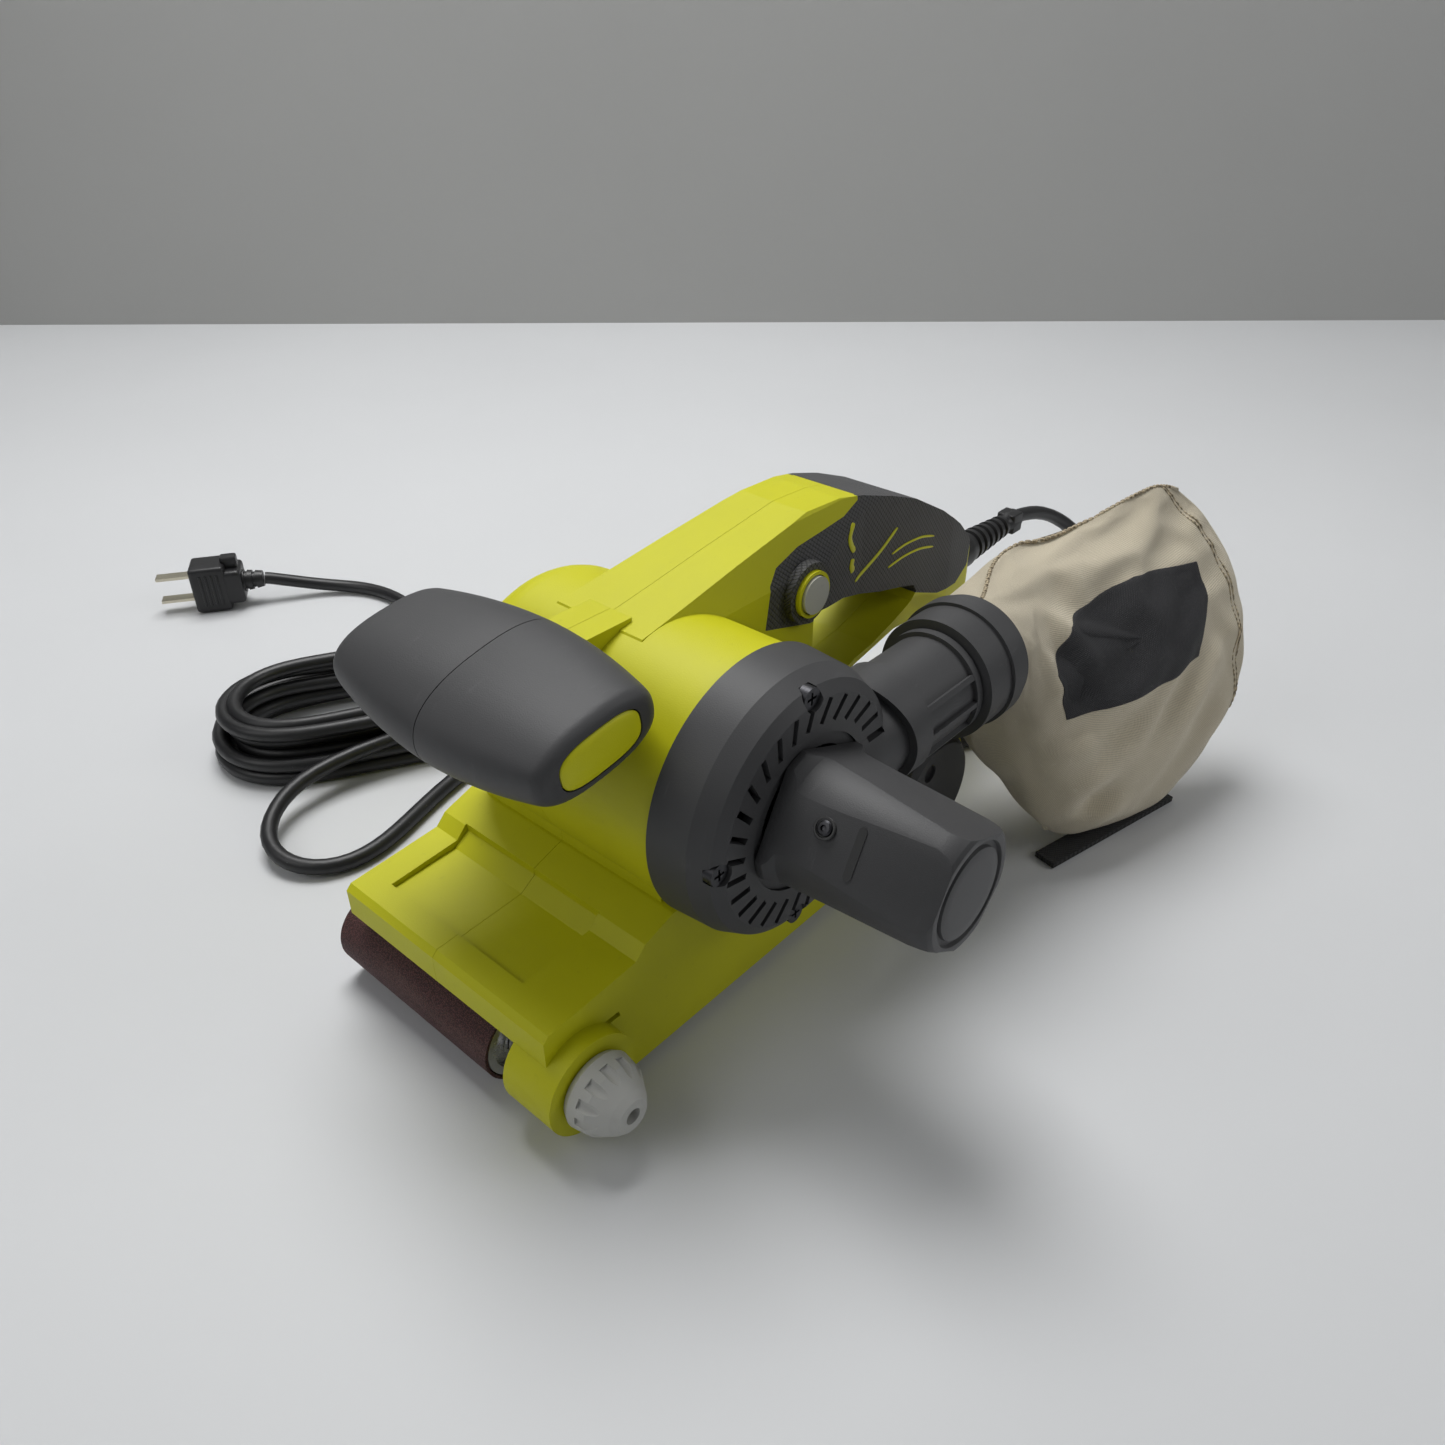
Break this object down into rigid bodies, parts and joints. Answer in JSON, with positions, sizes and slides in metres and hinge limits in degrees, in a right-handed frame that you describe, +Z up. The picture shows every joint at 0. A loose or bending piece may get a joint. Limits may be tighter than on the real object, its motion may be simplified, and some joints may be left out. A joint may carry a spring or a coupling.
{
  "type": "handheld belt sander",
  "caption": "Corded handheld belt sander with a side-mounted dust bag, front palm handle, D-shaped rear handle with trigger, tracking knob and belt release lever.",
  "frame": {"origin": "centre of the flat sanding face, under the handle's plane", "axes": "+X back to the rear handle, +Y to the open side of the sanding belt, +Z up"},
  "size_m": [0.4, 0.4879, 0.1372],
  "materials": {
    "lime_housing": "satin textured glass-filled nylon",
    "grey_plastic": "fine spark-eroded texture",
    "soft_grip": "soft-touch overmould",
    "lime_accent": "satin",
    "dark_fixings": "black oxide",
    "bright_fixings": "zinc plated",
    "cast_frame": "die cast",
    "steel_plate": "rolled",
    "graphite_pad": "graphite-coated cloth",
    "abrasive_belt": "aluminium oxide grit on cloth",
    "roller_steel": "turned",
    "lagging": "moulded",
    "pulley_alloy": "machined",
    "toothed_rubber": "moulded",
    "core_steel": "stamped laminations",
    "copper": "enamelled copper",
    "carbon": "pressed carbon",
    "knob_grey": "fine texture",
    "trigger_plastic": "fine texture",
    "cord_rubber": "moulded PVC jacket",
    "plug_brass": "nickel-plated",
    "canvas": "cotton canvas",
    "zip_tape": "woven tape"
  },
  "bodies": {
    "housing": {"left_housing": "lime_housing", "right_housing": "lime_housing", "grip_skin_left": "soft_grip", "grip_skin_right": "soft_grip", "front_handle_left": "soft_grip", "front_handle_right": "soft_grip", "front_handle_inserts": "lime_accent", "motor_cap": "grey_plastic", "nose_cover": "grey_plastic", "cap_screws": "dark_fixings", "dust_tube": "grey_plastic", "pulley_cover": "grey_plastic", "pulley_cover_screw": "dark_fixings", "housing_screws": "bright_fixings", "base_frame": "cast_frame", "platen": "steel_plate", "platen_pad": "graphite_pad", "sanding_belt": "abrasive_belt", "tension_spring": "bright_fixings", "lever_pin": "bright_fixings", "rear_bearings": "roller_steel", "drive_belt": "toothed_rubber", "field_core": "core_steel", "field_coils": "copper", "brush_holders": "copper", "carbon_brushes": "carbon", "brush_springs": "bright_fixings", "motor_bearings": "roller_steel", "bearing_plate": "cast_frame", "bearing_cup": "cast_frame", "tracking_spring": "bright_fixings", "switch_body": "grey_plastic", "trigger_pin": "bright_fixings", "lock_ring": "lime_accent", "strain_relief": "cord_rubber", "supply_cord": "cord_rubber", "cord_coil": "cord_rubber", "plug_cord": "cord_rubber", "plug_body": "cord_rubber", "plug_blades": "plug_brass"},
    "rotor": {"motor_shaft": "roller_steel", "armature_core": "core_steel", "commutator": "copper", "dust_fan": "grey_plastic", "motor_pulley": "pulley_alloy"},
    "rear_drive": {"rear_roller": "lagging", "rear_shaft": "roller_steel", "driven_pulley": "pulley_alloy"},
    "tension_slide": {"fork_rod": "steel_plate"},
    "fork": {"roller_fork": "steel_plate", "front_axle": "roller_steel"},
    "front_drive": {"front_roller": "roller_steel"},
    "lever": {"release_lever": "steel_plate"},
    "knob": {"tracking_knob": "knob_grey"},
    "trigger": {"trigger": "trigger_plastic"},
    "lock": {"lock_button": "knob_grey"},
    "bag": {"dust_bag": "canvas", "bag_collar": "grey_plastic", "bag_zip": "zip_tape"}
  },
  "joints": [
    {"name": "motor_spin", "type": "hinge", "parent": "housing", "child": "rotor", "pos_m": [-0.016, 0, 0.084], "axis": [0, 1, 0], "continuous": true},
    {"name": "rear_roller_spin", "type": "hinge", "parent": "housing", "child": "rear_drive", "pos_m": [0.08579, 0, 0.0201], "axis": [0, 1, 0], "continuous": true},
    {"name": "tension_slide", "type": "slide", "parent": "housing", "child": "tension_slide", "axis": [1, 0, 0], "range_m": [0, 0.007]},
    {"name": "fork_tilt", "type": "hinge", "parent": "tension_slide", "child": "fork", "pos_m": [-0.066, 0.015, 0.0144], "axis": [0, 0, 1], "range_deg": [-0.4, 0.4]},
    {"name": "front_roller_spin", "type": "hinge", "parent": "fork", "child": "front_drive", "pos_m": [-0.09, 0.015, 0.0144], "axis": [0, 1, 0], "continuous": true},
    {"name": "lever_swing", "type": "hinge", "parent": "housing", "child": "lever", "pos_m": [-0.044, 0.036, 0.017], "axis": [0, 0, 1], "range_deg": [0, 105]},
    {"name": "knob_turn", "type": "hinge", "parent": "housing", "child": "knob", "pos_m": [-0.091, -0.06, 0.02], "axis": [0, 1, 0], "range_deg": [-180, 180]},
    {"name": "trigger_squeeze", "type": "hinge", "parent": "housing", "child": "trigger", "pos_m": [0.047, 0, 0.101], "axis": [0, -1, 0], "range_deg": [0, 8], "stiffness_Nm_per_rad": 0.6, "springref_deg": -5.73},
    {"name": "lock_press", "type": "slide", "parent": "housing", "child": "lock", "axis": [0, 1, 0], "range_m": [0, 0.003], "stiffness_N_per_m": 400, "springref_m": -0.001},
    {"name": "bag_pull", "type": "slide", "parent": "housing", "child": "bag", "axis": [1, 0, 0], "range_m": [0, 0.03]}
  ],
  "couplings": [
    {"joint": "rear_roller_spin", "follows": "motor_spin", "ratio": 0.5},
    {"joint": "front_roller_spin", "follows": "motor_spin", "ratio": 0.73077},
    {"joint": "tension_slide", "follows": "lever_swing", "m_per_rad": 0.0038159},
    {"joint": "fork_tilt", "follows": "knob_turn", "ratio": 0.00222}
  ]
}
